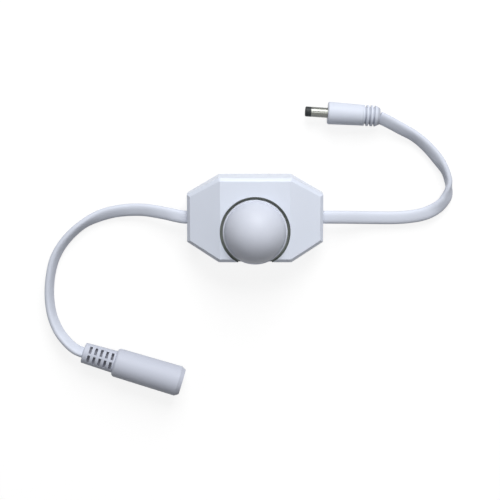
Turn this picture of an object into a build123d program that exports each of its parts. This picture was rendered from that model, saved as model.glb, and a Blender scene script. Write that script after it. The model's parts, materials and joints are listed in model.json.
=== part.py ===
from build123d import *
import math
import os

# In-line rotary dimmer for low-voltage LED strips, lying flat with both of its cords.
# Millimetres. X runs along the housing from the input cord to the output cord, Y across it, Z up.
# The origin is the middle of the housing's underside, on the surface that it lies on.

os.makedirs("parts", exist_ok=True)

# Housing, an octagon when seen from above, made of two shells
housing_length = 54.4
housing_width = 34.0
housing_height = 17.0
overall_height = 28.2  # to the top of the knob
side_wall_length = 29.0  # straight part of each long wall
end_wall_width = 19.2  # straight part of each end wall
flat_top_length = 27.6  # between the two creases, beyond which the top slopes down
end_height = 10.8  # where the sloping facets meet the end walls
parting_height = 6.5
wall = 1.8
base_thickness = 1.8
wall_draft = 1.2
edge_bevel = 1.3
base_bevel = 0.7
lip_wall = 0.8
lip_height = 1.2
lip_clearance = 0.08

# Circuit board and the posts that carry it
board_end_gap = 10.0  # to the end walls, with room for the screws and the cords' grips
board_side_gap = 1.7  # to the long walls
board_length = housing_length - 2 * (wall + board_end_gap)
board_width = housing_width - 2 * (wall + board_side_gap)
board_thickness = 1.6
standoff_height = 2.4
standoff_radius = 1.6
standoff_inset = 2.0
standoff_spacing_x = board_length - 2 * standoff_inset
standoff_spacing_y = board_width - 2 * standoff_inset
locating_pin_radius = 0.9
locating_pin_proud = 0.5
pin_clearance = 0.1

# Four self-tapping screws, from below
screw_inset_x = 8.7
screw_inset_y = 7.8
screw_spacing_x = housing_length - 2 * screw_inset_x
screw_spacing_y = housing_width - 2 * screw_inset_y
screw_radius = 1.1
screw_length = 8.5
screw_head_radius = 2.0
screw_head_height = 1.4
screw_recess_depth = 2.0
screw_recess_clearance = 0.2
screw_hole_clearance = 0.1
screw_thread_fit = 0.02
screw_boss_radius = 2.75
pilot_spare_depth = 1.0
cross_width = 0.5
cross_length = 2.4
cross_depth = 0.6

# Well that the knob turns in. It is off the middle, so that it breaks through the front wall.
well_radius = 13.9
well_wall = 1.2
well_floor_thickness = 1.2
well_breakthrough = 1.5
knob_y = well_radius - well_breakthrough - housing_width / 2

# Potentiometer, soldered to the board, with its threaded neck through the floor of the well
pot_width = 9.7
pot_depth = 11.4
pot_height = 6.5
pot_plate_thickness = 0.8
pot_cavity_radius = 4.2
pot_cavity_floor = 1.2
pot_pivot_depth = 0.8
neck_radius = 3.5
neck_length = 4.6
neck_hole_clearance = 0.15
shaft_radius = 3.0
shaft_clearance = 0.05
shaft_length = 18.4  # from the board
shaft_flat_depth = 1.5
shaft_flat_length = 6.2
collar_radius = 3.2
collar_thickness = 0.9
collar_gap = 0.3
stub_radius = 1.5
rotor_radius = 3.0
rotor_thickness = 2.0
rotor_fit = 0.02
rotor_lug_reach = 3.9
rotor_lug_width = 1.8
stop_post_inner_radius = 3.4
stop_post_width = 1.2
track_inner_radius = 2.2
track_outer_radius = 4.0
track_thickness = 0.3
track_gap_angle = 50.0
brush_clearance = 0.05
brush_post_clearance = 0.15
brush_width = 1.2
brush_thickness = 0.2
brush_foot_radius = 0.35
washer_radius = 5.4
washer_thickness = 0.5
nut_across_flats = 10.0
nut_thickness = 2.0
thread_fit = 0.02
terminal_pitch = 2.5
terminal_width = 0.8
terminal_thickness = 0.4
terminal_below_board = 1.4
terminal_hole_radius = 0.55
terminal_inset = 0.9
solder_radius = 0.95
solder_height = 0.7
solder_tip_radius = 0.5

# Knob, a hollow dome on a short skirt
knob_floor_gap = 0.7
knob_gap = 1.1
skirt_height = 3.4
rim_width = 0.5  # of the step round the dome's foot
rim_round = 0.25
knob_wall = 1.6
knob_boss_radius = 4.6
knob_boss_gap = 0.1  # above the foot of the shaft's flat
knob_bore_fit = 0.03
knob_bore_spare = 0.4
knob_rib_count = 6
knob_rib_thickness = 1.0
knob_rib_lift = 1.6

# Flat two-core cord
cord_width = 5.2
cord_thickness = 2.7
cord_exit_height = parting_height
cord_clearance = 0.1
grip_rib_gap = 3.1  # from the end wall to the middle of the rib
grip_rib_thickness = 1.2
grip_rib_offset = housing_length / 2 - wall - grip_rib_gap
cord_end_proud = 1.1  # how far the jacket ends beyond the rib
cord_inner_end = grip_rib_offset - grip_rib_thickness / 2 - cord_end_proud
grip_rib_width = 9.0
core_spacing = 2.5
core_radius = 0.6
core_pad_inset = 2.4
core_pad_offset = board_length / 2 - core_pad_inset
core_pad_spacing = 3.8
core_rise = 0.45
joint_radius = 0.7
joint_length = 1.4

# Socket at the end of the input cord, for plugs of 4.0 mm with a 1.7 mm hole
socket_x = -69.8
socket_y = -55.6
socket_heading = -17.2  # degrees from +X
relief_length = 13.2
relief_cord_radius = 4.2
relief_body_radius = 4.6
relief_core_thickness = 2.6  # left between the slots of both sides
relief_slot_count = 5
relief_slot_width = 1.0
relief_slot_length = 2.8
relief_slot_pitch = 2.3
relief_first_slot = 2.2
relief_middle_rib = 0.9  # between the two slots of one side
relief_roll = -12.0  # degrees about the socket's axis, as it happens to lie
relief_edge_round = 0.5
socket_body_length = 28.7
socket_shoulder_radius = 5.9
socket_end_radius = 6.2
socket_shoulder_round = 1.4
socket_end_bevel = 1.0
socket_end_bevel_length = 1.7
insert_radius = 3.6
insert_length = 14.0
insert_recess = 0.6
insert_fit = 0.02
socket_bore_radius = 2.1
socket_bore_depth = 10.0
centre_pin_radius = 0.825
centre_pin_root_radius = 0.6
centre_pin_recess = 0.8
spring_width = 1.4
spring_thickness = 0.3
spring_length = 7.0

# Plug at the end of the output cord, 4.0 mm outside and 1.7 mm inside
plug_x = 49.5
plug_y = 40.16
plug_heading = 176.2
plug_relief_length = 7.0
plug_relief_end_radius = 3.2
plug_relief_radius = 4.15
plug_relief_taper_length = 1.7
plug_groove_count = 3
plug_groove_pitch = 1.65
plug_groove_width = 0.75
plug_groove_depth = 0.75
plug_first_groove = 2.1
plug_body_length = 13.7
plug_body_radius = 4.5
plug_edge_bevel = 0.4
barrel_radius = 2.0
barrel_wall = 0.35
barrel_foot_step = 0.6  # the foot inside the grip is wider by this
barrel_length = 9.0  # that stands out of the body, with its tip
barrel_anchor = 6.0
tip_length = 2.4
tip_round = 0.5
contact_radius = 1.25
contact_bore_radius = 0.85
contact_bore_depth = 8.5
contact_end_wall = 1.0
contact_tip_recess = 0.4
contact_fit = 0.02

# Heights that follow from the stack of pieces
board_bottom = base_thickness + standoff_height
board_top = board_bottom + board_thickness
pot_top = board_top + pot_height
plate_bottom = pot_top - pot_plate_thickness
cavity_floor = board_top + pot_cavity_floor
well_floor = pot_top + well_floor_thickness
knob_bottom = well_floor + knob_floor_gap
rim_top = knob_bottom + skirt_height
dome_height = overall_height - rim_top
shaft_top = board_top + shaft_length
knob_boss_bottom = shaft_top - shaft_flat_length + knob_boss_gap
flange_radius = well_radius - knob_gap
dome_radius = flange_radius - rim_width
barrel_bore_radius = barrel_radius - barrel_wall
barrel_foot_radius = barrel_radius + barrel_foot_step
socket_direction = Vector(1, 0, 0).rotate(Axis.Z, socket_heading)
plug_direction = Vector(1, 0, 0).rotate(Axis.Z, plug_heading)

ABOVE = (Align.CENTER, Align.CENTER, Align.MIN)
knob_axis = Axis((0, knob_y, 0), (0, 0, 1))
knob_section = Plane.XZ.offset(-knob_y)


def housing_outline(inset, mode=Mode.ADD):
    """The housing's octagon seen from above, drawn in by inset on every side."""
    long_wall = (side_wall_length / 2, housing_width / 2)
    end_wall = (housing_length / 2, end_wall_width / 2)
    corners = [
        (long_wall[0], long_wall[1]),
        (-long_wall[0], long_wall[1]),
        (-end_wall[0], end_wall[1]),
        (-end_wall[0], -end_wall[1]),
        (-long_wall[0], -long_wall[1]),
        (long_wall[0], -long_wall[1]),
        (end_wall[0], -end_wall[1]),
        (end_wall[0], end_wall[1]),
    ]
    octagon = Polygon(*corners, align=None, mode=Mode.PRIVATE)
    if inset:
        offset(octagon, amount=-inset, kind=Kind.INTERSECTION, mode=mode)
    else:
        add(octagon, mode=mode)


def facet_plane(side, depth):
    """The sloping top facet of one end, sunk into the housing by depth."""
    run = (housing_length - flat_top_length) / 2
    drop = housing_height - end_height
    outward = Vector(side * drop, 0, run).normalized()
    crease = Vector(side * flat_top_length / 2, 0, housing_height)
    return Plane(origin=crease - outward * depth, z_dir=outward)


# Cord passages: slots through the end walls and grip ribs, half of them in each shell
with BuildPart() as cord_passages:
    for side in (-1, 1):
        behind_rib = Plane(
            origin=(side * (grip_rib_offset - grip_rib_thickness), 0, cord_exit_height),
            x_dir=(0, 1, 0),
            z_dir=(side, 0, 0),
        )
        with BuildSketch(behind_rib):
            SlotOverall(cord_width + 2 * cord_clearance, cord_thickness + 2 * cord_clearance)
        extrude(amount=housing_length / 2)

# Upper shell: the outer form, its hollow and what stands inside it
with BuildPart() as upper_form:
    with BuildSketch(Plane.XY.offset(parting_height)):
        housing_outline(0)
    extrude(amount=housing_height - parting_height, taper=wall_draft)
    for side in (-1, 1):
        split(bisect_by=facet_plane(side, 0), keep=Keep.BOTTOM)
    top_faces = upper_form.faces().filter_by(lambda face: face.normal_at().Z > 0.5)
    rim_edges = top_faces.edges().filter_by(
        lambda edge: abs(abs(edge.center().X) - flat_top_length / 2) > 0.01
    )
    chamfer(rim_edges, length=edge_bevel)

with BuildPart() as upper_hollow:
    with BuildSketch(Plane.XY.offset(parting_height)):
        housing_outline(wall)
    extrude(amount=housing_height - wall - parting_height)
    for side in (-1, 1):
        split(bisect_by=facet_plane(side, wall), keep=Keep.BOTTOM)
    with Locations((0, knob_y, pot_top)):
        Cylinder(well_radius + well_wall, housing_height, align=ABOVE, mode=Mode.SUBTRACT)

with BuildPart() as upper_supports:
    with BuildSketch(Plane.XY.offset(parting_height)):
        with GridLocations(screw_spacing_x, screw_spacing_y, 2, 2):
            Circle(screw_boss_radius)
        with GridLocations(2 * grip_rib_offset, 0, 2, 1):
            Rectangle(grip_rib_thickness, grip_rib_width)
    extrude(amount=housing_height - parting_height)
    add(upper_form.part, mode=Mode.INTERSECT)

with BuildPart() as upper_shell:
    add(upper_form.part)
    add(upper_hollow.part, mode=Mode.SUBTRACT)
    with BuildSketch(Plane.XY.offset(parting_height)):
        housing_outline(wall - lip_wall - lip_clearance)
    extrude(amount=lip_height + lip_clearance, mode=Mode.SUBTRACT)
    add(upper_supports.part)
    with BuildSketch(Plane.XY.offset(parting_height)):
        with GridLocations(screw_spacing_x, screw_spacing_y, 2, 2):
            Circle(screw_radius + screw_thread_fit)
    extrude(
        amount=screw_recess_depth + screw_length + pilot_spare_depth - parting_height,
        mode=Mode.SUBTRACT,
    )
    with Locations((0, knob_y, well_floor)):
        Cylinder(well_radius, housing_height, align=ABOVE, mode=Mode.SUBTRACT)
    with Locations((0, knob_y, pot_top)):
        Cylinder(
            neck_radius + neck_hole_clearance, well_floor_thickness, align=ABOVE, mode=Mode.SUBTRACT
        )
    add(cord_passages.part, mode=Mode.SUBTRACT)

# Lower shell: a tray with a lip, screw bosses, board posts and cord grips
with BuildPart() as lower_shell:
    with BuildSketch(Plane(origin=(0, 0, parting_height), z_dir=(0, 0, -1))):
        housing_outline(0)
    extrude(amount=parting_height, taper=wall_draft)
    chamfer(lower_shell.faces().sort_by(Axis.Z)[0].edges(), length=base_bevel)
    with BuildSketch(Plane.XY.offset(base_thickness)):
        housing_outline(wall)
    extrude(amount=parting_height, mode=Mode.SUBTRACT)
    with BuildSketch(Plane.XY.offset(parting_height)):
        housing_outline(wall - lip_wall)
        housing_outline(wall, mode=Mode.SUBTRACT)
    extrude(amount=lip_height)
    with BuildSketch(Plane.XY.offset(base_thickness)):
        with GridLocations(screw_spacing_x, screw_spacing_y, 2, 2):
            Circle(screw_boss_radius)
        with GridLocations(2 * grip_rib_offset, 0, 2, 1):
            Rectangle(grip_rib_thickness, grip_rib_width)
    extrude(amount=parting_height - base_thickness)
    with BuildSketch(Plane.XY.offset(base_thickness)):
        with GridLocations(standoff_spacing_x, standoff_spacing_y, 2, 2):
            Circle(standoff_radius)
    extrude(amount=standoff_height)
    with BuildSketch(Plane.XY.offset(board_bottom)):
        with GridLocations(standoff_spacing_x, standoff_spacing_y, 2, 2):
            Circle(locating_pin_radius)
    extrude(amount=board_thickness + locating_pin_proud)
    with BuildSketch(Plane.XY):
        with GridLocations(screw_spacing_x, screw_spacing_y, 2, 2):
            Circle(screw_radius + screw_hole_clearance)
    extrude(amount=parting_height, mode=Mode.SUBTRACT)
    with BuildSketch(Plane.XY):
        with GridLocations(screw_spacing_x, screw_spacing_y, 2, 2):
            Circle(screw_head_radius + screw_recess_clearance)
    extrude(amount=screw_recess_depth, mode=Mode.SUBTRACT)
    add(cord_passages.part, mode=Mode.SUBTRACT)

# Housing screws: one solid each, with a cross recess in the head
head_bottom = screw_recess_depth - screw_head_height
with BuildPart() as housing_screws:
    with BuildSketch(Plane.XY.offset(head_bottom)):
        with GridLocations(screw_spacing_x, screw_spacing_y, 2, 2):
            Circle(screw_head_radius)
    extrude(amount=screw_head_height)
    with BuildSketch(Plane.XY.offset(screw_recess_depth)):
        with GridLocations(screw_spacing_x, screw_spacing_y, 2, 2):
            Circle(screw_radius)
    extrude(amount=screw_length)
    with BuildSketch(Plane.XY.offset(head_bottom)):
        with GridLocations(screw_spacing_x, screw_spacing_y, 2, 2):
            Rectangle(cross_length, cross_width)
            Rectangle(cross_width, cross_length)
    extrude(amount=cross_depth, mode=Mode.SUBTRACT)

# Potentiometer body: an open moulded case with a pivot hole and a stop post for the rotor
with BuildPart() as potentiometer_body:
    with BuildSketch(Plane((0, knob_y, board_top))):
        Rectangle(pot_width, pot_depth)
    extrude(amount=pot_height - pot_plate_thickness)
    with BuildSketch(Plane((0, knob_y, cavity_floor))):
        Circle(pot_cavity_radius)
        with Locations((0, -pot_cavity_radius)):
            Rectangle(
                stop_post_width,
                2 * (pot_cavity_radius - stop_post_inner_radius),
                mode=Mode.SUBTRACT,
            )
    extrude(amount=pot_height, mode=Mode.SUBTRACT)
    with BuildSketch(Plane((0, knob_y, cavity_floor))):
        Circle(stub_radius + shaft_clearance)
    extrude(amount=-pot_pivot_depth, mode=Mode.SUBTRACT)

# Neck of the potentiometer: a metal top plate with a plain-bored threaded neck
with BuildPart() as potentiometer_neck:
    with BuildSketch(Plane((0, knob_y, plate_bottom))):
        Rectangle(pot_width, pot_depth)
    extrude(amount=pot_plate_thickness)
    with BuildSketch(Plane((0, knob_y, pot_top))):
        Circle(neck_radius)
    extrude(amount=neck_length)
    with BuildSketch(Plane((0, knob_y, plate_bottom))):
        Circle(shaft_radius + shaft_clearance)
    extrude(amount=pot_plate_thickness + neck_length, mode=Mode.SUBTRACT)

# Washer and hexagonal nut that hold the neck to the floor of the well
with BuildPart() as potentiometer_washer:
    with BuildSketch(Plane((0, knob_y, well_floor))):
        Circle(washer_radius)
        Circle(neck_radius + neck_hole_clearance, mode=Mode.SUBTRACT)
    extrude(amount=washer_thickness)

with BuildPart() as potentiometer_nut:
    with BuildSketch(Plane((0, knob_y, well_floor + washer_thickness))):
        RegularPolygon(nut_across_flats / 2, 6, major_radius=False)
        Circle(neck_radius + thread_fit, mode=Mode.SUBTRACT)
    extrude(amount=nut_thickness)

# Resistive track: a flat horseshoe on the floor of the cavity
with BuildPart() as resistive_track:
    with BuildSketch(Plane((0, knob_y, cavity_floor))):
        Circle(track_outer_radius)
        Circle(track_inner_radius, mode=Mode.SUBTRACT)
        gap_reach = 2 * track_outer_radius
        gap_half_width = gap_reach * math.tan(math.radians(track_gap_angle / 2))
        Polygon(
            (0, 0),
            (gap_half_width, -gap_reach),
            (-gap_half_width, -gap_reach),
            align=None,
            mode=Mode.SUBTRACT,
        )
    extrude(amount=track_thickness)

# Terminals: three pins at the front and two holding lugs, through the board
pin_row_y = knob_y - pot_depth / 2 + terminal_inset
lug_row_y = knob_y + pot_depth / 2 - terminal_inset
terminal_places = [(-terminal_pitch, pin_row_y), (0, pin_row_y), (terminal_pitch, pin_row_y)]
terminal_places += [(-terminal_pitch, lug_row_y), (terminal_pitch, lug_row_y)]
with BuildPart() as potentiometer_terminals:
    with BuildSketch(Plane.XY.offset(board_bottom - terminal_below_board)):
        with Locations(*terminal_places):
            Rectangle(terminal_width, terminal_thickness)
    extrude(amount=terminal_below_board + board_thickness)

# Shaft: pivot stub, collar below the plate, journal in the neck and a D-shaped end
rotor_bottom = cavity_floor + track_thickness + brush_clearance + brush_thickness + brush_foot_radius
rotor_top = rotor_bottom + rotor_thickness
collar_top = plate_bottom - collar_gap
stub_bottom = cavity_floor - pot_pivot_depth + brush_clearance


def d_profile(clearance):
    """The shaft's D section, grown by clearance, with its flat towards +Y."""
    Circle(shaft_radius + clearance)
    flat_at = shaft_radius - shaft_flat_depth + clearance
    with Locations((0, flat_at + shaft_radius)):
        Rectangle(4 * shaft_radius, 2 * shaft_radius, mode=Mode.SUBTRACT)


with BuildPart() as potentiometer_shaft:
    with BuildSketch(Plane((0, knob_y, stub_bottom))):
        Circle(stub_radius)
    extrude(amount=collar_top - collar_thickness - stub_bottom)
    with BuildSketch(Plane((0, knob_y, collar_top - collar_thickness))):
        Circle(collar_radius)
    extrude(amount=collar_thickness)
    with BuildSketch(Plane((0, knob_y, collar_top))):
        Circle(shaft_radius)
    extrude(amount=shaft_top - shaft_flat_length - collar_top)
    with BuildSketch(Plane((0, knob_y, shaft_top - shaft_flat_length))):
        d_profile(0)
    extrude(amount=shaft_flat_length)

# Wiper rotor with the lug that runs against the stop post at both ends of the turn
with BuildPart() as wiper_rotor:
    with BuildSketch(Plane((0, knob_y, rotor_bottom))):
        Circle(rotor_radius)
        with Locations((0, rotor_lug_reach / 2)):
            Rectangle(rotor_lug_width, rotor_lug_reach)
        Circle(stub_radius + rotor_fit, mode=Mode.SUBTRACT)
    extrude(amount=rotor_thickness)

# Brush: a springy strip under the rotor with two feet on the track
brush_bottom = rotor_bottom - brush_thickness
brush_reach = stop_post_inner_radius - brush_post_clearance
with BuildPart() as wiper_brush:
    with BuildSketch(Plane((0, knob_y, brush_bottom))):
        Rectangle(2 * brush_reach, brush_width)
        Circle(stub_radius + rotor_fit, mode=Mode.SUBTRACT)
        Circle(stub_radius + brush_width / 2)
        Circle(stub_radius + rotor_fit, mode=Mode.SUBTRACT)
    extrude(amount=brush_thickness)
    with BuildSketch(Plane((0, knob_y, brush_bottom))):
        with GridLocations(2 * (brush_reach - brush_foot_radius), 0, 2, 1):
            Circle(brush_foot_radius)
    extrude(amount=-brush_foot_radius)

# Knob: the outer form, then the hollow that leaves a boss and ribs standing
dome_inner_radius = dome_radius - knob_wall
skirt_inner_radius = flange_radius - knob_wall
dome_inner_base = rim_top - knob_wall
with BuildPart() as knob_hollow:
    with BuildSketch(knob_section):
        with BuildLine():
            Polyline(
                (0, dome_inner_base + dome_height),
                (0, knob_bottom),
                (skirt_inner_radius, knob_bottom),
                (skirt_inner_radius, dome_inner_base),
                (dome_inner_radius, dome_inner_base),
            )
            TangentArc(
                (0, dome_inner_base + dome_height), (dome_inner_radius, dome_inner_base), tangent=(1, 0)
            )
        make_face()
    revolve(axis=knob_axis)
    with BuildSketch(Plane((0, knob_y, knob_boss_bottom))):
        Circle(knob_boss_radius)
    extrude(amount=dome_height + skirt_height, mode=Mode.SUBTRACT)
    with BuildSketch(Plane((0, knob_y, knob_boss_bottom + knob_rib_lift))):
        with PolarLocations(well_radius / 2, knob_rib_count):
            Rectangle(well_radius, knob_rib_thickness)
    extrude(amount=dome_height + skirt_height, mode=Mode.SUBTRACT)

with BuildPart() as knob:
    with BuildSketch(knob_section):
        with BuildLine():
            Polyline(
                (0, overall_height),
                (0, knob_bottom),
                (flange_radius, knob_bottom),
                (flange_radius, rim_top),
                (dome_radius, rim_top),
            )
            TangentArc((0, overall_height), (dome_radius, rim_top), tangent=(1, 0))
        make_face()
    revolve(axis=knob_axis)
    flange_circles = knob.edges().group_by(SortBy.LENGTH)[-1]
    fillet(flange_circles.sort_by(Axis.Z)[-1], radius=rim_round)
    add(knob_hollow.part, mode=Mode.SUBTRACT)
    with BuildSketch(Plane((0, knob_y, knob_boss_bottom))):
        d_profile(knob_bore_fit)
    extrude(amount=shaft_top + knob_bore_spare - knob_boss_bottom, mode=Mode.SUBTRACT)

# Circuit board with holes for the posts' pins and the potentiometer's terminals
with BuildPart() as circuit_board:
    with BuildSketch(Plane.XY.offset(board_bottom)):
        Rectangle(board_length, board_width)
        with GridLocations(standoff_spacing_x, standoff_spacing_y, 2, 2):
            Circle(locating_pin_radius + pin_clearance, mode=Mode.SUBTRACT)
        with Locations(*terminal_places):
            Circle(terminal_hole_radius, mode=Mode.SUBTRACT)
    extrude(amount=board_thickness)

# Two rows of components on the board, one near each long edge
component_inset = 5.9
back_row_y = board_width / 2 - component_inset
front_row_y = -back_row_y

# Switching transistor in a flat package with a metal tab and two leads
transistor_x = -8.8
transistor_place = Plane((transistor_x, back_row_y, board_top))
transistor_length = 6.6
transistor_width = 6.1
transistor_height = 2.3
transistor_tab_length = 1.1
transistor_tab_width = 5.2
transistor_lead_length = 2.6
transistor_lead_width = 0.8
transistor_lead_pitch = 4.6
transistor_metal = 0.5
package_draft = 3
package_overlap = 0.3  # how far tabs and leads reach into their package
with BuildPart() as switching_transistor:
    with BuildSketch(transistor_place):
        Rectangle(transistor_length, transistor_width)
    extrude(amount=transistor_height, taper=package_draft)
    with BuildSketch(transistor_place):
        with Locations((0, (transistor_width + transistor_tab_length) / 2 - package_overlap)):
            Rectangle(transistor_tab_width, transistor_tab_length)
        lead_y = package_overlap - (transistor_width + transistor_lead_length) / 2
        with GridLocations(transistor_lead_pitch, 0, 2, 1):
            with Locations((0, lead_y)):
                Rectangle(transistor_lead_width, transistor_lead_length)
    extrude(amount=transistor_metal)

# Timer chip: eight leads in two rows
chip_x = 8.6
chip_place = Plane((chip_x, back_row_y, board_top))
chip_length = 4.9
chip_width = 3.9
chip_height = 1.5
chip_lead_pitch = 1.27
chip_lead_width = 0.4
chip_lead_span = 6.0
chip_lead_thickness = 0.3
chip_lead_count = 4
chip_bevel = 0.2
with BuildPart() as timer_chip:
    with BuildSketch(chip_place):
        Rectangle(chip_length, chip_width)
    extrude(amount=chip_height)
    chamfer(timer_chip.faces().sort_by(Axis.Z)[-1].edges(), length=chip_bevel)
    with BuildSketch(chip_place):
        with GridLocations(chip_lead_pitch, 0, chip_lead_count, 1):
            Rectangle(chip_lead_width, chip_lead_span)
    extrude(amount=chip_lead_thickness)

# Electrolytic capacitor: a can with a pressed groove, on a square plastic foot
capacitor_x = -8.4
capacitor_place = Vector(capacitor_x, front_row_y, board_top)
capacitor_radius = 3.1
capacitor_height = 5.8
capacitor_foot_size = 6.5
capacitor_foot_height = 0.9
capacitor_groove_height = 1.8
capacitor_groove_radius = 0.35
capacitor_round = 0.3
with BuildPart() as electrolytic_capacitor:
    with BuildSketch(Plane(capacitor_place)):
        Rectangle(capacitor_foot_size, capacitor_foot_size)
    extrude(amount=capacitor_foot_height)
    with BuildSketch(Plane(capacitor_place)):
        Circle(capacitor_radius)
    extrude(amount=capacitor_height)
    fillet(electrolytic_capacitor.faces().sort_by(Axis.Z)[-1].edges(), radius=capacitor_round)
    with BuildSketch(Plane(origin=capacitor_place, x_dir=(1, 0, 0), z_dir=(0, -1, 0))):
        with Locations((capacitor_radius, capacitor_groove_height)):
            Circle(capacitor_groove_radius)
    revolve(axis=Axis(capacitor_place, (0, 0, 1)), mode=Mode.SUBTRACT)

# Diode against reversed supply
diode_x = 9.6
diode_place = Plane((diode_x, front_row_y, board_top))
diode_length = 4.3
diode_width = 2.6
diode_height = 2.2
diode_foot_length = 5.2
diode_foot_width = 1.4
diode_foot_height = 0.3
with BuildPart() as protection_diode:
    with BuildSketch(diode_place):
        Rectangle(diode_length, diode_width)
    extrude(amount=diode_height, taper=package_draft)
    with BuildSketch(diode_place):
        Rectangle(diode_foot_length, diode_foot_width)
    extrude(amount=diode_foot_height)

# Chip resistors and chip capacitors, one solid each: four rows behind the potentiometer, and one
# capacitor between the pads of the output cord
chip_part_length = 2.0
chip_part_width = 1.25
chip_row_gap = 0.8
resistor_height = 0.5
ceramic_height = 1.1
ceramic_pad_gap = 1.0
left_column_x = -2.6
right_column_x = 1.0
row_pitch = chip_part_width + chip_row_gap
first_row_y = knob_y + pot_depth / 2 + chip_row_gap + chip_part_width / 2
rows_y = [first_row_y + row * row_pitch for row in range(4)]
pad_ceramic_x = core_pad_offset - joint_length - ceramic_pad_gap - chip_part_length / 2
resistor_places = [(x, y) for x in (left_column_x, right_column_x) for y in rows_y[:2]]
resistor_places.append((right_column_x, rows_y[2]))
ceramic_places = [(left_column_x, rows_y[2]), (right_column_x, rows_y[3]), (pad_ceramic_x, 0)]
with BuildPart() as chip_resistors:
    with BuildSketch(Plane.XY.offset(board_top)):
        with Locations(*resistor_places):
            Rectangle(chip_part_length, chip_part_width)
    extrude(amount=resistor_height)

with BuildPart() as chip_capacitors:
    with BuildSketch(Plane.XY.offset(board_top)):
        with Locations(*ceramic_places):
            Rectangle(chip_part_length, chip_part_width)
    extrude(amount=ceramic_height)


def core_route(side, half):
    """Middle line of one insulated core, from the cord's inner end to its pad."""
    start = (side * cord_inner_end, half * core_spacing / 2, cord_exit_height)
    pad = (side * core_pad_offset, half * core_pad_spacing / 2, board_top + joint_radius)
    middle = tuple((a + b) / 2 for a, b in zip(start, pad))
    return [start, (middle[0], middle[1], middle[2] + core_rise), pad]


with BuildPart() as input_wires:
    for half in (-1, 1):
        with BuildLine() as core_path:
            Spline(*core_route(-1, half), tangents=[(1, 0, 0), (1, 0, 0)])
        with BuildSketch(Plane(origin=core_route(-1, half)[0], z_dir=(1, 0, 0))):
            Circle(core_radius)
        sweep(path=core_path.wire())

with BuildPart() as output_wires:
    for half in (-1, 1):
        with BuildLine() as core_path:
            Spline(*core_route(1, half), tangents=[(-1, 0, 0), (-1, 0, 0)])
        with BuildSketch(Plane(origin=core_route(1, half)[0], z_dir=(-1, 0, 0))):
            Circle(core_radius)
        sweep(path=core_path.wire())

# Solder joints: a bead at each core and a fillet round each terminal under the board
with BuildPart() as solder_joints:
    for side in (-1, 1):
        pad_end = Plane(
            origin=(side * core_pad_offset, 0, board_top), x_dir=(0, -side, 0), z_dir=(-side, 0, 0)
        )
        with BuildSketch(pad_end):
            with GridLocations(core_pad_spacing, 0, 2, 1):
                with Locations((0, joint_radius)):
                    Circle(joint_radius)
                with Locations((0, joint_radius / 2)):
                    Rectangle(2 * joint_radius, joint_radius)
        extrude(amount=joint_length)
    for place in terminal_places:
        with BuildSketch(Plane((place[0], place[1], board_bottom))):
            Circle(solder_radius)
        with BuildSketch(Plane((place[0], place[1], board_bottom - solder_height))):
            Circle(solder_tip_radius)
        loft()
    with BuildSketch(Plane.XY.offset(board_bottom - terminal_below_board)):
        with Locations(*terminal_places):
            Rectangle(terminal_width, terminal_thickness)
    extrude(amount=terminal_below_board, mode=Mode.SUBTRACT)

# Socket at the end of the input cord. Its sections are drawn along its own axis: the first
# coordinate runs from the cord to the open end, the second is the radius.
socket_height = socket_end_radius
socket_start = Vector(socket_x, socket_y, socket_height)
socket_axis = Axis(socket_start, socket_direction)
socket_section = Plane(origin=socket_start, x_dir=socket_direction, z_dir=(0, 0, 1))
socket_end = relief_length + socket_body_length


def socket_cross_section(distance):
    """Plane square to the socket's axis, looking towards its open end."""
    return Plane(
        origin=socket_start + socket_direction * distance, x_dir=(0, 0, 1), z_dir=socket_direction
    )


# Strain relief: a tapered sleeve with slots from both sides of its mould, two by two, which leave
# a rib along the middle, solid flanks and a flat core
with BuildPart() as socket_strain_relief:
    with BuildSketch(socket_section):
        Polygon(
            (0, 0),
            (relief_length, 0),
            (relief_length, relief_body_radius),
            (0, relief_cord_radius),
            align=None,
        )
    revolve(axis=socket_axis)
    cord_end_edges = socket_strain_relief.edges().filter_by(GeomType.CIRCLE).sort_by(SortBy.RADIUS)
    fillet(cord_end_edges[0], radius=relief_edge_round)
    slots_length = (relief_slot_count - 1) * relief_slot_pitch + relief_slot_width
    slots_middle = socket_start + socket_direction * (relief_first_slot + slots_length / 2)
    for side in (-1, 1):
        outward = Vector(0, 0, side).rotate(Axis((0, 0, 0), socket_direction), relief_roll)
        slot_floor = Plane(
            origin=slots_middle + outward * relief_core_thickness / 2,
            x_dir=socket_direction,
            z_dir=outward,
        )
        with BuildSketch(slot_floor):
            with GridLocations(
                relief_slot_pitch, relief_middle_rib + relief_slot_length, relief_slot_count, 2
            ):
                Rectangle(relief_slot_width, relief_slot_length)
        extrude(amount=relief_body_radius, mode=Mode.SUBTRACT)

# Socket body: the moulded grip, bored for the insert
with BuildPart() as socket_body:
    with BuildSketch(socket_section):
        Polygon(
            (relief_length, 0),
            (socket_end, 0),
            (socket_end, socket_end_radius - socket_end_bevel),
            (socket_end - socket_end_bevel_length, socket_end_radius),
            (relief_length, socket_shoulder_radius),
            align=None,
        )
    revolve(axis=socket_axis)
    shoulder_circle = socket_body.edges().filter_by(GeomType.CIRCLE).sort_by(socket_axis)[0]
    fillet(shoulder_circle, radius=socket_shoulder_round)
    with BuildSketch(socket_cross_section(socket_end)):
        Circle(insert_radius + insert_fit)
    extrude(amount=-(insert_recess + insert_length), mode=Mode.SUBTRACT)

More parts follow.
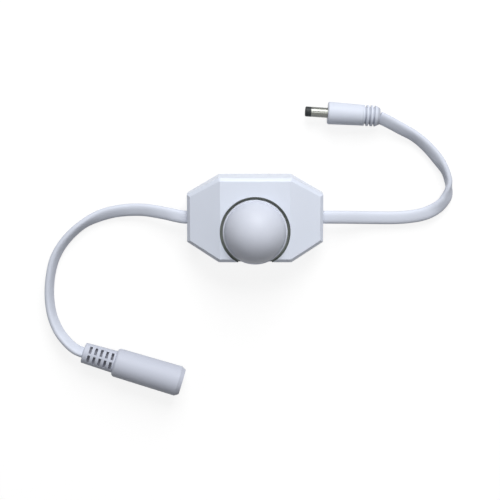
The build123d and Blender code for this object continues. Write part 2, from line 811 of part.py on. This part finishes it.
# Insert that holds both contacts, with the socket's bore
insert_front = socket_end - insert_recess
with BuildPart() as socket_insert:
    with BuildSketch(socket_cross_section(insert_front)):
        Circle(insert_radius)
    extrude(amount=-insert_length)
    with BuildSketch(socket_cross_section(insert_front)):
        Circle(socket_bore_radius)
        with Locations((socket_bore_radius, 0)):
            Rectangle(2 * spring_thickness + 2 * insert_fit, spring_width + 2 * insert_fit)
    extrude(amount=-socket_bore_depth, mode=Mode.SUBTRACT)
    with BuildSketch(socket_cross_section(insert_front)):
        Circle(centre_pin_root_radius + insert_fit)
    extrude(amount=-insert_length, mode=Mode.SUBTRACT)

# Centre pin: its shoulder seats on the bore's floor and its narrower root is held in the insert
pin_base = insert_front - socket_bore_depth
with BuildPart() as socket_centre_pin:
    with BuildSketch(socket_cross_section(insert_front - insert_length)):
        Circle(centre_pin_root_radius)
    extrude(amount=pin_base - insert_front + insert_length)
    with BuildSketch(socket_cross_section(pin_base)):
        Circle(centre_pin_radius)
    extrude(amount=insert_front - centre_pin_recess - pin_base)
    pin_circles = socket_centre_pin.edges().filter_by(GeomType.CIRCLE).sort_by(socket_axis)
    fillet(pin_circles[-1], radius=centre_pin_radius / 2)

# Sleeve contact: a spring strip in a groove of the bore
spring_back = insert_front - socket_bore_depth
with BuildPart() as socket_spring:
    with BuildSketch(socket_cross_section(spring_back)):
        with Locations((socket_bore_radius, 0)):
            Rectangle(2 * spring_thickness, spring_width)
        Circle(socket_bore_radius, mode=Mode.SUBTRACT)
    extrude(amount=spring_length)

# Plug at the end of the output cord, drawn along its own axis from the cord to the tip
plug_height = plug_body_radius
plug_start = Vector(plug_x, plug_y, plug_height)
plug_axis = Axis(plug_start, plug_direction)
plug_section = Plane(origin=plug_start, x_dir=plug_direction, z_dir=(0, 0, 1))
plug_face = plug_relief_length + plug_body_length
tip_end = plug_face + barrel_length

# Strain relief of the plug: a tapered end and ring grooves
with BuildPart() as plug_strain_relief:
    with BuildSketch(plug_section):
        Polygon(
            (0, 0),
            (plug_relief_length, 0),
            (plug_relief_length, plug_relief_radius),
            (plug_relief_taper_length, plug_relief_radius),
            (0, plug_relief_end_radius),
            align=None,
        )
        for groove in range(plug_groove_count):
            groove_start = plug_first_groove + groove * plug_groove_pitch
            with Locations((groove_start + plug_groove_width / 2, plug_relief_radius)):
                Rectangle(plug_groove_width, 2 * plug_groove_depth, mode=Mode.SUBTRACT)
    revolve(axis=plug_axis)

with BuildPart() as plug_body:
    with BuildSketch(plug_section):
        Polygon(
            (plug_relief_length, 0),
            (plug_face, 0),
            (plug_face, plug_body_radius),
            (plug_relief_length, plug_relief_radius),
            align=None,
        )
    revolve(axis=plug_axis)
    body_circles = plug_body.edges().filter_by(GeomType.CIRCLE).sort_by(SortBy.RADIUS)
    chamfer(body_circles[-1], length=plug_edge_bevel)
    with BuildSketch(plug_section):
        with Locations((plug_face - barrel_anchor, 0)):
            Rectangle(barrel_anchor, barrel_foot_radius + contact_fit, align=(Align.MIN, Align.MIN))
    revolve(axis=plug_axis, mode=Mode.SUBTRACT)

# Barrel: the outer contact, a metal tube with a wider foot that the grip is moulded round
barrel_end = tip_end - tip_length
with BuildPart() as plug_barrel:
    with BuildSketch(plug_section):
        Polygon(
            (plug_face - barrel_anchor, barrel_bore_radius),
            (barrel_end, barrel_bore_radius),
            (barrel_end, barrel_radius),
            (plug_face, barrel_radius),
            (plug_face, barrel_foot_radius),
            (plug_face - barrel_anchor, barrel_foot_radius),
            align=None,
        )
    revolve(axis=plug_axis)

# Tip insulator: a dark ring at the end and the sleeve behind it that fills the barrel
with BuildPart() as plug_tip_insulator:
    with BuildSketch(plug_section):
        with Locations((plug_face - barrel_anchor, 0)):
            Rectangle(
                barrel_end - plug_face + barrel_anchor,
                barrel_bore_radius - contact_fit,
                align=(Align.MIN, Align.MIN),
            )
        with Locations((barrel_end, 0)):
            Rectangle(tip_length, barrel_radius, align=(Align.MIN, Align.MIN))
        with Locations((tip_end, 0)):
            Rectangle(
                contact_bore_depth + contact_end_wall,
                contact_radius + contact_fit,
                align=(Align.MAX, Align.MIN),
                mode=Mode.SUBTRACT,
            )
    revolve(axis=plug_axis)
    tip_circles = plug_tip_insulator.edges().filter_by(GeomType.CIRCLE).group_by(plug_axis)[-1]
    fillet(tip_circles.sort_by(SortBy.RADIUS)[-1], radius=tip_round)

# Inner contact: a metal cup that receives the socket's centre pin
with BuildPart() as plug_inner_contact:
    with BuildSketch(plug_section):
        with Locations((tip_end - contact_bore_depth - contact_end_wall, 0)):
            Rectangle(
                contact_bore_depth + contact_end_wall - contact_tip_recess,
                contact_radius,
                align=(Align.MIN, Align.MIN),
            )
        with Locations((tip_end - contact_bore_depth, 0)):
            Rectangle(
                contact_bore_depth,
                contact_bore_radius,
                align=(Align.MIN, Align.MIN),
                mode=Mode.SUBTRACT,
            )
    revolve(axis=plug_axis)

# Cords. Each route is the middle line of the flat cord, chosen by hand: straight out of the
# housing, down to the surface, round its bends and up into the connector.
socket_run = 5.5
plug_run = 2.9
input_route = [
    (-cord_inner_end, 0.0, cord_exit_height),
    (-32.8, 0.0, cord_exit_height),
    (-46.4, 2.9, 2.6),
    (-60.2, 1.4, 2.2),
    (-71.3, -4.0, 2.4),
    (-80.6, -14.5, 2.4),
    (-83.7, -26.5, 2.5),
    (-83.6, -38.5, 2.5),
    (-80.6, -47.2, 3.9),
    tuple(socket_start - socket_direction * socket_run),
    tuple(socket_start),
]
output_route = [
    (cord_inner_end, 0.0, cord_exit_height),
    (32.8, 0.0, cord_exit_height),
    (46.0, -0.7, 2.6),
    (59.2, -0.9, 2.2),
    (69.9, 0.8, 2.5),
    (77.2, 6.7, 2.7),
    (77.6, 15.4, 2.7),
    (72.4, 23.6, 2.6),
    (65.0, 31.3, 2.5),
    (56.6, 35.6, 3.3),
    tuple(plug_start - plug_direction * plug_run),
    tuple(plug_start),
]


def corner_radii(route):
    """One radius for each inner point, as large as its two runs allow."""
    radii = []
    for before, corner, after in zip(route, route[1:], route[2:]):
        arriving = Vector(*corner) - Vector(*before)
        leaving = Vector(*after) - Vector(*corner)
        half_turn = math.radians(arriving.get_angle(leaving)) / 2
        shorter_run = min(arriving.length, leaving.length)
        radii.append(0.45 * shorter_run / math.tan(half_turn))
    return radii


def cord_end_plane(route):
    """Plane square to the start of a route, with the cord's width level."""
    start = Vector(*route[0])
    return Plane(origin=start, x_dir=(0, 1, 0), z_dir=Vector(*route[1]) - start)


def report_cord(name, cord, path, route):
    """Print the bend radii and compare the cord's volume with its section times its length."""
    end_radius = cord_thickness / 2
    section = math.pi * end_radius**2 + (cord_width - cord_thickness) * cord_thickness
    expected = section * path.wire().length
    radii = ", ".join(f"{radius:.1f}" for radius in corner_radii(route))
    print(f"{name}: length {path.wire().length:.1f}, bend radii {radii}")
    print(f"{name}: volume {cord.part.volume:.1f}, section times length {expected:.1f}")


with BuildPart() as input_cord:
    with BuildLine() as input_path:
        FilletPolyline(*input_route, radius=corner_radii(input_route))
    with BuildSketch(cord_end_plane(input_route)):
        SlotOverall(cord_width, cord_thickness)
    sweep(path=input_path.wire())
report_cord("input_cord", input_cord, input_path, input_route)

with BuildPart() as output_cord:
    with BuildLine() as output_path:
        FilletPolyline(*output_route, radius=corner_radii(output_route))
    with BuildSketch(cord_end_plane(output_route)):
        SlotOverall(cord_width, cord_thickness)
    sweep(path=output_path.wire())
report_cord("output_cord", output_cord, output_path, output_route)

pieces = {
    "upper_shell": upper_shell,
    "lower_shell": lower_shell,
    "housing_screws": housing_screws,
    "knob": knob,
    "potentiometer_body": potentiometer_body,
    "potentiometer_neck": potentiometer_neck,
    "potentiometer_washer": potentiometer_washer,
    "potentiometer_nut": potentiometer_nut,
    "potentiometer_terminals": potentiometer_terminals,
    "potentiometer_shaft": potentiometer_shaft,
    "resistive_track": resistive_track,
    "wiper_rotor": wiper_rotor,
    "wiper_brush": wiper_brush,
    "circuit_board": circuit_board,
    "switching_transistor": switching_transistor,
    "timer_chip": timer_chip,
    "electrolytic_capacitor": electrolytic_capacitor,
    "protection_diode": protection_diode,
    "chip_resistors": chip_resistors,
    "chip_capacitors": chip_capacitors,
    "solder_joints": solder_joints,
    "input_wires": input_wires,
    "output_wires": output_wires,
    "input_cord": input_cord,
    "socket_strain_relief": socket_strain_relief,
    "socket_body": socket_body,
    "socket_insert": socket_insert,
    "socket_centre_pin": socket_centre_pin,
    "socket_spring": socket_spring,
    "output_cord": output_cord,
    "plug_strain_relief": plug_strain_relief,
    "plug_body": plug_body,
    "plug_barrel": plug_barrel,
    "plug_tip_insulator": plug_tip_insulator,
    "plug_inner_contact": plug_inner_contact,
}
for piece_name, piece in pieces.items():
    piece.part.label = piece_name
    export_step(piece.part, f"parts/{piece_name}.step")
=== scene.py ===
import json
import math

import bpy
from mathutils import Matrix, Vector


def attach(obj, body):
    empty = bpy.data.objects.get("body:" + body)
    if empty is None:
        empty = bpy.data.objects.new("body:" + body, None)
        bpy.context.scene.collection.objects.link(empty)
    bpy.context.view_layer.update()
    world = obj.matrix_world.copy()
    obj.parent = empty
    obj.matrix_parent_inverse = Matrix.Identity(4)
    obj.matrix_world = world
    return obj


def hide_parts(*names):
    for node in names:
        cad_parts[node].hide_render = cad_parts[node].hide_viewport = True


# In-line rotary dimmer with its two flat cords, seen from above and a little from behind.
# Metres. The axes are the part's own: X along the housing, Y towards its back wall, Z up.

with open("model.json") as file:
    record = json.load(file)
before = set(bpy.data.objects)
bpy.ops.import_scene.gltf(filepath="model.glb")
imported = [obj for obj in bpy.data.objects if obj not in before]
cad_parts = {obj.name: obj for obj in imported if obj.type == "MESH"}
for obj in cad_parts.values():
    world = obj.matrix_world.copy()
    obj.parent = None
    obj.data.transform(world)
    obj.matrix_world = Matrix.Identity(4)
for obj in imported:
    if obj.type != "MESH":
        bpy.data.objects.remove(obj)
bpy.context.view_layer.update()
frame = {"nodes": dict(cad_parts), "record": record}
nodes = frame["nodes"]

# Camera: a long lens high above the object and a little behind it, 9 degrees off straight
# down
camera_place = (-0.00203, 0.07595, 0.57014)
camera_tilt = math.radians(-9.0)
focal_length = 102.2
sensor_width = 36.0

camera_data = bpy.data.cameras.new("camera")
camera_data.lens = focal_length
camera_data.sensor_width = sensor_width
camera = bpy.data.objects.new("camera", camera_data)
camera.location = camera_place
camera.rotation_euler = (camera_tilt, 0.0, 0.0)
bpy.context.scene.collection.objects.link(camera)
bpy.context.scene.camera = camera

# Flat cords. Their routes start inside the housing and end where the strain reliefs begin.
# They keep within about a millimetre of the part's, and follow the photo where the two
# differ. Each point has the cord's roll there, in degrees: 0 lies flat and 90 stands on its
# narrow edge.
cord_width = 0.0052
cord_thickness = 0.0027
cord_squareness = 2.6
section_points = 44
spline_steps = 16
exit_height = 0.0065
input_length = 0.1140
output_length = 0.1057
input_route = [
    ((-0.0206, 0.0, exit_height), 0),
    ((-0.0264, 0.0, exit_height), 0),
    ((-0.0286, 0.0, exit_height), 0),
    ((-0.0318, 0.0006, 0.00635), -3),
    ((-0.0366, 0.0016, 0.0054), -11),
    ((-0.0470, 0.00295, 0.0028), -16),
    ((-0.0602, 0.0014, 0.0022), -28),
    ((-0.0713, -0.0040, 0.00248), -58),
    ((-0.0806, -0.0145, 0.00254), -60),
    ((-0.0837, -0.0265, 0.00262), -67),
    ((-0.0836, -0.0385, 0.00262), -66),
    ((-0.0804, -0.0470, 0.0040), -62),
    ((-0.0757, -0.0523, 0.0058), -61),
    ((-0.0722, -0.0549, 0.0062), -59),
    ((-0.0698, -0.0556, 0.0062), -58),
]
output_route = [
    ((0.0206, 0.0, exit_height), 0),
    ((0.0328, 0.0, exit_height), 0),
    ((0.0460, -0.0007, 0.0026), 0),
    ((0.0592, -0.0009, 0.0022), 0),
    ((0.0699, 0.0008, 0.0025), 2),
    ((0.0775, 0.0065, 0.0027), 35),
    ((0.0781, 0.0154, 0.0027), 105),
    ((0.0728, 0.0239, 0.0026), 140),
    ((0.0652, 0.0315, 0.0025), 138),
    ((0.0576, 0.0355, 0.0032), 150),
    ((0.0524, 0.0384, 0.0042), 154),
    ((0.0494, 0.0397, 0.0045), 156),
]


def route_line(name, points):
    """The points along a cord's smooth middle line, read from its NURBS spline."""
    curve = bpy.data.curves.new(name, "CURVE")
    curve.dimensions = "3D"
    spline = curve.splines.new("NURBS")
    spline.points.add(len(points) - 1)
    for made, place in zip(spline.points, points):
        made.co = (*place, 1.0)
    spline.order_u = 3
    spline.use_endpoint_u = True
    spline.resolution_u = spline_steps
    holder = bpy.data.objects.new(name, curve)
    bpy.context.scene.collection.objects.link(holder)
    bpy.context.view_layer.update()
    line_mesh = bpy.data.meshes.new_from_object(holder)
    line = [vertex.co.copy() for vertex in line_mesh.vertices]
    bpy.data.objects.remove(holder)
    bpy.data.meshes.remove(line_mesh)
    bpy.data.curves.remove(curve)
    return line


def travelled(points):
    """How far along the line each point is, as a share of the whole."""
    steps = [0.0]
    for before, after in zip(points, points[1:]):
        steps.append(steps[-1] + (Vector(after) - Vector(before)).length)
    return [step / steps[-1] for step in steps]


def roll_at(share, marks, rolls):
    """The cord's roll at a share of its length, turned smoothly from mark to mark."""
    for before in range(len(marks) - 1):
        if share <= marks[before + 1]:
            along = (share - marks[before]) / (marks[before + 1] - marks[before])
            smoothed = along * along * (3 - 2 * along)
            return rolls[before] + (rolls[before + 1] - rolls[before]) * smoothed
    return rolls[-1]


def squared(value):
    """A sine or cosine, changed so that a circle becomes a square with round corners."""
    return math.copysign(abs(value) ** (2 / cord_squareness), value)


def oval_section():
    """Outline of the jacket, between a flat oval and a flat strip with round edges."""
    outline = []
    for step in range(section_points):
        angle = math.tau * step / section_points
        across = squared(math.cos(angle)) * cord_width / 2
        up = squared(math.sin(angle)) * cord_thickness / 2
        outline.append((across, up))
    return outline


def flat_cord(name, route):
    """A tube with the cord's flat section that follows its route and rolls as it bends."""
    places = [place for place, roll in route]
    rolls = [roll for place, roll in route]
    line = route_line(name, places)
    marks = travelled(places)
    outline = oval_section()
    count = len(outline)
    vertices = []
    for index, (centre, share) in enumerate(zip(line, travelled(line))):
        before = line[max(index - 1, 0)]
        after = line[min(index + 1, len(line) - 1)]
        forward = (after - before).normalized()
        level = Vector((0.0, 0.0, 1.0)).cross(forward).normalized()
        upright = forward.cross(level)
        roll = math.radians(roll_at(share, marks, rolls))
        wide = level * math.cos(roll) + upright * math.sin(roll)
        narrow = forward.cross(wide)
        vertices += [centre + wide * across + narrow * up for across, up in outline]
    last_ring = (len(line) - 1) * count
    faces = []
    for here in range(0, last_ring, count):
        beyond = here + count
        for step in range(count):
            following = (step + 1) % count
            faces.append((here + step, here + following, beyond + following, beyond + step))
    faces.append(tuple(reversed(range(count))))
    faces.append(tuple(range(last_ring, last_ring + count)))
    mesh = bpy.data.meshes.new(name)
    mesh.from_pydata([tuple(vertex) for vertex in vertices], [], faces)
    mesh.polygons.foreach_set("use_smooth", [True] * len(mesh.polygons))
    mesh.update()
    cord = bpy.data.objects.new(name, mesh)
    bpy.context.scene.collection.objects.link(cord)
    return cord, [tuple(point) for point in line]


input_lead, input_line = flat_cord("input_lead", input_route)
output_lead, output_line = flat_cord("output_lead", output_route)


def feed(tree, made, inputs):
    """Set the inputs of a shader node, or link them where the value is another's output."""
    for name, value in inputs.items():
        if isinstance(value, bpy.types.NodeSocket):
            tree.links.new(value, made.inputs[name])
        else:
            made.inputs[name].default_value = value


def node(tree, kind, inputs, **settings):
    """A new shader node with its settings made and its inputs set or linked."""
    made = tree.nodes.new(kind)
    for name, value in settings.items():
        setattr(made, name, value)
    feed(tree, made, inputs)
    return made


def maths(tree, operation, *values):
    """The result of a maths node on one or two values."""
    inputs = dict(enumerate(values))
    return node(tree, "ShaderNodeMath", inputs, operation=operation).outputs["Value"]


def vector_maths(tree, operation, *vectors):
    """The outputs of a maths node on one or two vectors."""
    inputs = dict(enumerate(vectors))
    return node(tree, "ShaderNodeVectorMath", inputs, operation=operation).outputs


def mapped(tree, value, limits):
    """The value moved from one range to another. Limits that aren't given are 0 and 1."""
    return node(tree, "ShaderNodeMapRange", {"Value": value, **limits}).outputs["Result"]


def ramp(tree, value, start, end):
    """0 at start and 1 at end, and in between as far along as the value is."""
    return mapped(tree, value, {"From Min": start, "From Max": end})


def blended(tree, share, first, second):
    """The first colour where the share is 0, and the second where it is 1."""
    inputs = {"Factor": share, "A": first, "B": second}
    return node(tree, "ShaderNodeMix", inputs, data_type="RGBA").outputs["Result"]


def noise(tree, place, scale, detail, roughness=0.5):
    """A noise over the place, coarser or finer by its scale."""
    inputs = {"Vector": place, "Scale": scale, "Detail": detail, "Roughness": roughness}
    return node(tree, "ShaderNodeTexNoise", inputs).outputs["Fac"]


def plain_material(name):
    """A new material with its tree and its main shader."""
    made = bpy.data.materials.new(name)
    made.use_nodes = True
    return made, made.node_tree, made.node_tree.nodes["Principled BSDF"]


def shade(colour, factor):
    """The colour made lighter or darker, with full opacity."""
    return (*(min(1.0, channel * factor) for channel in colour), 1.0)


# Painted shade in narrow places that little light gets into: the well round the knob, the line
# where the shells meet, and the slots and grooves of the strain reliefs. Each painted shade
# starts at its margin and is full at its full margin.
knob_y = -0.0046
well_floor = 0.0135
well_radius = 0.0139
well_margin = 0.0001
well_full_margin = well_margin / 4
parting_height = exit_height
parting_margin = 0.00009
parting_full_margin = parting_margin / 2
sleeve_margin = 0.0003
socket_start = (-0.0698, -0.0556, 0.0062)
socket_heading = math.radians(-17.2)
socket_slot_floor = 0.0036
plug_start = (0.0495, 0.04016, 0.0045)
plug_heading = math.radians(176.2)
plug_groove_floor = 0.0036
# Colours of the painted shade: in the well, along the seam, in the slots and in the grooves
well_painted_shade = (0.26, 0.29, 0.27, 1.0)
seam_painted_shade = (0.36, 0.38, 0.42, 1.0)
slot_painted_shade = (0.38, 0.39, 0.45, 1.0)
groove_painted_shade = (0.48, 0.51, 0.59, 1.0)


def shell_painted_shade(tree, place, surface):
    """Painted shade in the knob's well and along the line where the shells meet."""
    level_place = vector_maths(tree, "MULTIPLY", place, (1.0, 1.0, 0.0))["Vector"]
    reach = vector_maths(tree, "DISTANCE", level_place, (0.0, knob_y, 0.0))["Value"]
    height = node(tree, "ShaderNodeSeparateXYZ", {"Vector": place}).outputs["Z"]
    near_knob = ramp(tree, reach, well_radius + well_margin, well_radius + well_full_margin)
    above_floor = ramp(tree, height, well_floor - well_margin, well_floor - well_full_margin)
    well_shade_mask = maths(tree, "MULTIPLY", near_knob, above_floor)
    off_seam = maths(tree, "ABSOLUTE", maths(tree, "SUBTRACT", height, parting_height))
    seam_shade_mask = ramp(tree, off_seam, parting_margin, parting_full_margin)
    # Painted shade in the well, then along the seam
    surface = blended(tree, well_shade_mask, surface, well_painted_shade)
    return blended(tree, seam_shade_mask, surface, seam_painted_shade)


def sleeve_painted_shade(start, heading, floor, colour):
    """Painted shade for a sleeve's slots or grooves, which lie nearer to its axis than its
    skin.
    """
    direction = (math.cos(heading), math.sin(heading), 0.0)

    def paint_shade(tree, place, surface):
        offset = vector_maths(tree, "SUBTRACT", place, start)["Vector"]
        across = vector_maths(tree, "CROSS_PRODUCT", offset, direction)["Vector"]
        reach = vector_maths(tree, "LENGTH", across)["Value"]
        # Painted shade, full at the floor of the slots or grooves
        sleeve_shade_mask = ramp(tree, reach, floor + sleeve_margin, floor)
        return blended(tree, sleeve_shade_mask, surface, colour)

    return paint_shade


# Noise in the finishes. The gloss follows the part of a noise between its low and high value.
noise_low = 0.3
noise_high = 0.7
smoother = 0.05
rougher_plastic = 0.06
rougher_metal = 0.07
cloud_scale = 70.0
cloud_detail = 3.0
grain_detail = 4.0
grain_roughness = 0.6
patch_scale = 500.0
patch_detail = 4.0
patch_dark = 0.88
patch_light = 1.08
line_size = 0.0002
line_depth = 0.000003
line_detail = 2.0
line_stretch = (1.0, 0.08, 0.08)


def cover(tree, shader, surface, wear, roughness, rougher, relief, depth):
    """Give the shader its colour, a gloss that varies with the wear, and a relief."""
    limits = {
        "From Min": noise_low,
        "From Max": noise_high,
        "To Min": roughness - smoother,
        "To Max": roughness + rougher,
    }
    gloss = mapped(tree, wear, limits)
    bump = node(tree, "ShaderNodeBump", {"Height": relief, "Strength": 1.0, "Distance": depth})
    normal = bump.outputs["Normal"]
    feed(tree, shader, {"Base Color": surface, "Roughness": gloss, "Normal": normal})


def moulded(
    name,
    colour,
    roughness,
    grain_size=0.0004,
    grain_depth=0.000006,
    blush=0.03,
    specular=0.4,
    painted_shade=None,
):
    """Moulded plastic: cloudy tone, a fine eroded grain and a gloss that varies with it."""
    made, tree, shader = plain_material(name)
    place = node(tree, "ShaderNodeTexCoord", {}).outputs["Object"]
    cloud = noise(tree, place, cloud_scale, cloud_detail)
    grain = noise(tree, place, 1 / grain_size, grain_detail, grain_roughness)
    surface = blended(tree, cloud, shade(colour, 1 - blush), shade(colour, 1 + blush))
    # Painted shade in the piece's narrow places, where it has any
    if painted_shade:
        surface = painted_shade(tree, place, surface)
    cover(tree, shader, surface, grain, roughness, rougher_plastic, grain, grain_depth)
    feed(tree, shader, {"Specular IOR Level": specular})
    return made


def metal(name, colour, roughness):
    """Plated or turned metal: fine lines round the piece, and patches of duller plating."""
    made, tree, shader = plain_material(name)
    place = node(tree, "ShaderNodeTexCoord", {}).outputs["Object"]
    patch = noise(tree, place, patch_scale, patch_detail)
    stretched = node(tree, "ShaderNodeMapping", {"Vector": place, "Scale": line_stretch})
    lines = noise(tree, stretched.outputs["Vector"], 1 / line_size, line_detail)
    surface = blended(tree, patch, shade(colour, patch_dark), shade(colour, patch_light))
    cover(tree, shader, surface, patch, roughness, rougher_metal, lines, line_depth)
    feed(tree, shader, {"Metallic": 1.0})
    return made


# Materials, one for each finish of the part. The socket's plastic is a darker copy of the
# plug's:
# painted shade. The shell and the strain reliefs also carry painted shade in their narrow
# places.
socket_finish_painted_darker = {
    "colour": (0.57, 0.60, 0.695),
    "roughness": 0.52,
    "grain_size": 0.0007,
    "grain_depth": 0.00001,
    "specular": 0.25,
}
plug_finish = {**socket_finish_painted_darker, "colour": (0.66, 0.70, 0.80), "roughness": 0.48}
# Painted shade in the socket relief's slots and in the plug relief's grooves
socket_slot_painted_shade = sleeve_painted_shade(socket_start, socket_heading, socket_slot_floor, slot_painted_shade)
plug_groove_painted_shade = sleeve_painted_shade(plug_start, plug_heading, plug_groove_floor, groove_painted_shade)
materials = {
    "white_shell": moulded(
        "shell_plastic_painted_shade",
        colour=(0.74, 0.79, 0.90),
        roughness=0.38,
        painted_shade=shell_painted_shade,
    ),
    "knob_white": moulded(
        "knob_plastic",
        colour=(0.64, 0.67, 0.76),
        roughness=0.42,
        grain_size=0.0003,
        specular=0.25,
    ),
    "cord_white": moulded(
        "jacket_plastic",
        colour=(0.68, 0.72, 0.82),
        roughness=0.5,
        grain_size=0.0009,
        grain_depth=0.00001,
        specular=0.3,
    ),
    "moulded_white": moulded("grip_plastic", **plug_finish),
    "plug_relief": moulded("plug_relief_plastic_painted_shade", painted_shade=plug_groove_painted_shade, **plug_finish),
    "socket_white": moulded("socket_plastic_painted_darker", **socket_finish_painted_darker),
    "socket_relief": moulded("socket_relief_plastic_painted_shade", painted_shade=socket_slot_painted_shade, **socket_finish_painted_darker),
    "insert_black": moulded(
        "insert_plastic",
        colour=(0.014, 0.018, 0.02),
        roughness=0.45,
        specular=0.3,
    ),
    "board_green": moulded(
        "board_mask",
        colour=(0.05, 0.28, 0.14),
        roughness=0.3,
        blush=0.15,
    ),
    "pot_black": moulded("case_plastic", colour=(0.05, 0.05, 0.06), roughness=0.45),
    "carbon": moulded("carbon_film", colour=(0.02, 0.02, 0.02), roughness=0.6),
    "rotor_white": moulded("rotor_plastic", colour=(0.8, 0.8, 0.78), roughness=0.4),
    "chip_black": moulded("epoxy", colour=(0.03, 0.03, 0.03), roughness=0.5),
    "ceramic": moulded(
        "ceramic_body",
        colour=(0.45, 0.33, 0.22),
        roughness=0.5,
        blush=0.1,
    ),
    "core_red": moulded("core_plastic", colour=(0.7, 0.05, 0.04), roughness=0.4),
    "plated_metal": metal("nickel_plate", colour=(0.195, 0.2, 0.186), roughness=0.24),
    "steel": metal("zinc_plate", colour=(0.5, 0.51, 0.53), roughness=0.35),
    "capacitor_can": metal("bare_can", colour=(0.7, 0.7, 0.72), roughness=0.3),
    "solder": metal("tinned", colour=(0.6, 0.6, 0.62), roughness=0.32),
}
slots = {row["node"]: row["material_slot"] for row in frame["record"]["subparts"]}


def dress(piece, slot):
    """Give a piece the material of its slot, in place of whatever it came with."""
    piece.data.materials.clear()
    piece.data.materials.append(materials[slot])


for name, piece in nodes.items():
    dress(piece, slots[name])
# The socket's body gets the darker copy, its painted shade
dress(nodes["socket_body"], "socket_white")
# Both strain reliefs get copies with painted shade in their slots and grooves
dress(nodes["socket_strain_relief"], "socket_relief")
dress(nodes["plug_strain_relief"], "plug_relief")

# Small real rounds on the sharp edges of the shells and the strain reliefs. Each mesh is
# welded first, and its flat faces are joined, so that the rounds run along whole edges.
edge_rounds = {
    "upper_shell": 0.00014,
    "lower_shell": 0.00014,
    "socket_strain_relief": 0.0001,
    "plug_strain_relief": 0.0001,
}
round_segments = 2
sharp_angle = math.radians(30.0)
flat_angle = math.radians(0.4)
weld_distance = 0.000002

for name, width in edge_rounds.items():
    weld = nodes[name].modifiers.new("weld", "WELD")
    weld.merge_threshold = weld_distance
    flatten = nodes[name].modifiers.new("flatten", "DECIMATE")
    flatten.decimate_type = "DISSOLVE"
    flatten.angle_limit = flat_angle
    bevel = nodes[name].modifiers.new("round", "BEVEL")
    bevel.width = width
    bevel.segments = round_segments
    bevel.limit_method = "ANGLE"
    bevel.angle_limit = sharp_angle
    bevel.use_clamp_overlap = False
    bevel.harden_normals = True

# Each cord stands for its plain solid
cord_facts = [
    (input_lead, input_line, "input_cord", -1, input_length, "socket_"),
    (output_lead, output_line, "output_cord", 1, output_length, "plug_"),
]
for lead, line, solid, side, length, carried in cord_facts:
    dress(lead, "cord_white")
    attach(lead, "housing")
    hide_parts(solid)

# Floor: grey paper that keeps the object's shadow, and glows near white to the camera and in
# reflections
floor_size = 6.0
floor_drop = 0.0002
floor_grey = (0.25, 0.25, 0.25, 1.0)
floor_roughness = 0.9
seen_glow = 0.82
white = (1.0, 1.0, 1.0, 1.0)


def seen_directly(tree):
    """1 for rays from the camera and for those that glossy and clear surfaces send on."""
    rays = node(tree, "ShaderNodeLightPath", {}).outputs
    first = maths(tree, "MAXIMUM", rays["Is Camera Ray"], rays["Is Glossy Ray"])
    return maths(tree, "MAXIMUM", first, rays["Is Transmission Ray"])


bpy.ops.mesh.primitive_plane_add(size=floor_size, location=(0.0, 0.0, -floor_drop))
floor = bpy.context.object
floor.name = "floor"
floor_material, floor_tree, floor_shader = plain_material("floor_paper")
floor_finish = {
    "Base Color": floor_grey,
    "Roughness": floor_roughness,
    "Specular IOR Level": 0.0,
    "Emission Color": white,
    "Emission Strength": maths(floor_tree, "MULTIPLY", seen_directly(floor_tree), seen_glow),
}
feed(floor_tree, floor_shader, floor_finish)
floor.data.materials.append(floor_material)

# World: white where it is seen, a plain grey light elsewhere
world_light = 0.08
world = bpy.data.worlds.new("studio")
bpy.context.scene.world = world
world.use_nodes = True
world_tree = world.node_tree
world_strength = mapped(
    world_tree, seen_directly(world_tree), {"To Min": world_light, "To Max": 1.0}
)
feed(world_tree, world_tree.nodes["Background"], {"Color": white, "Strength": world_strength})


def soft_light(name, place, size, power):
    """A square soft box of white light that faces the middle of the housing."""
    data = bpy.data.lights.new(name, "AREA")
    data.size = size
    data.energy = power
    lamp = bpy.data.objects.new(name, data)
    lamp.location = place
    lamp.rotation_euler = (-Vector(place)).to_track_quat("-Z", "Y").to_euler()
    bpy.context.scene.collection.objects.link(lamp)


soft_light("key", place=(0.14, 0.87, 0.69), size=0.8, power=12.9)
soft_light("right", place=(0.79, 0.0, 0.79), size=0.35, power=1.4)
soft_light("left", place=(-0.92, 0.0, 0.64), size=0.35, power=0.9)
soft_light("top", place=(0.0, 0.08, 1.12), size=0.35, power=1.4)

bpy.context.scene.view_settings.view_transform = "Standard"
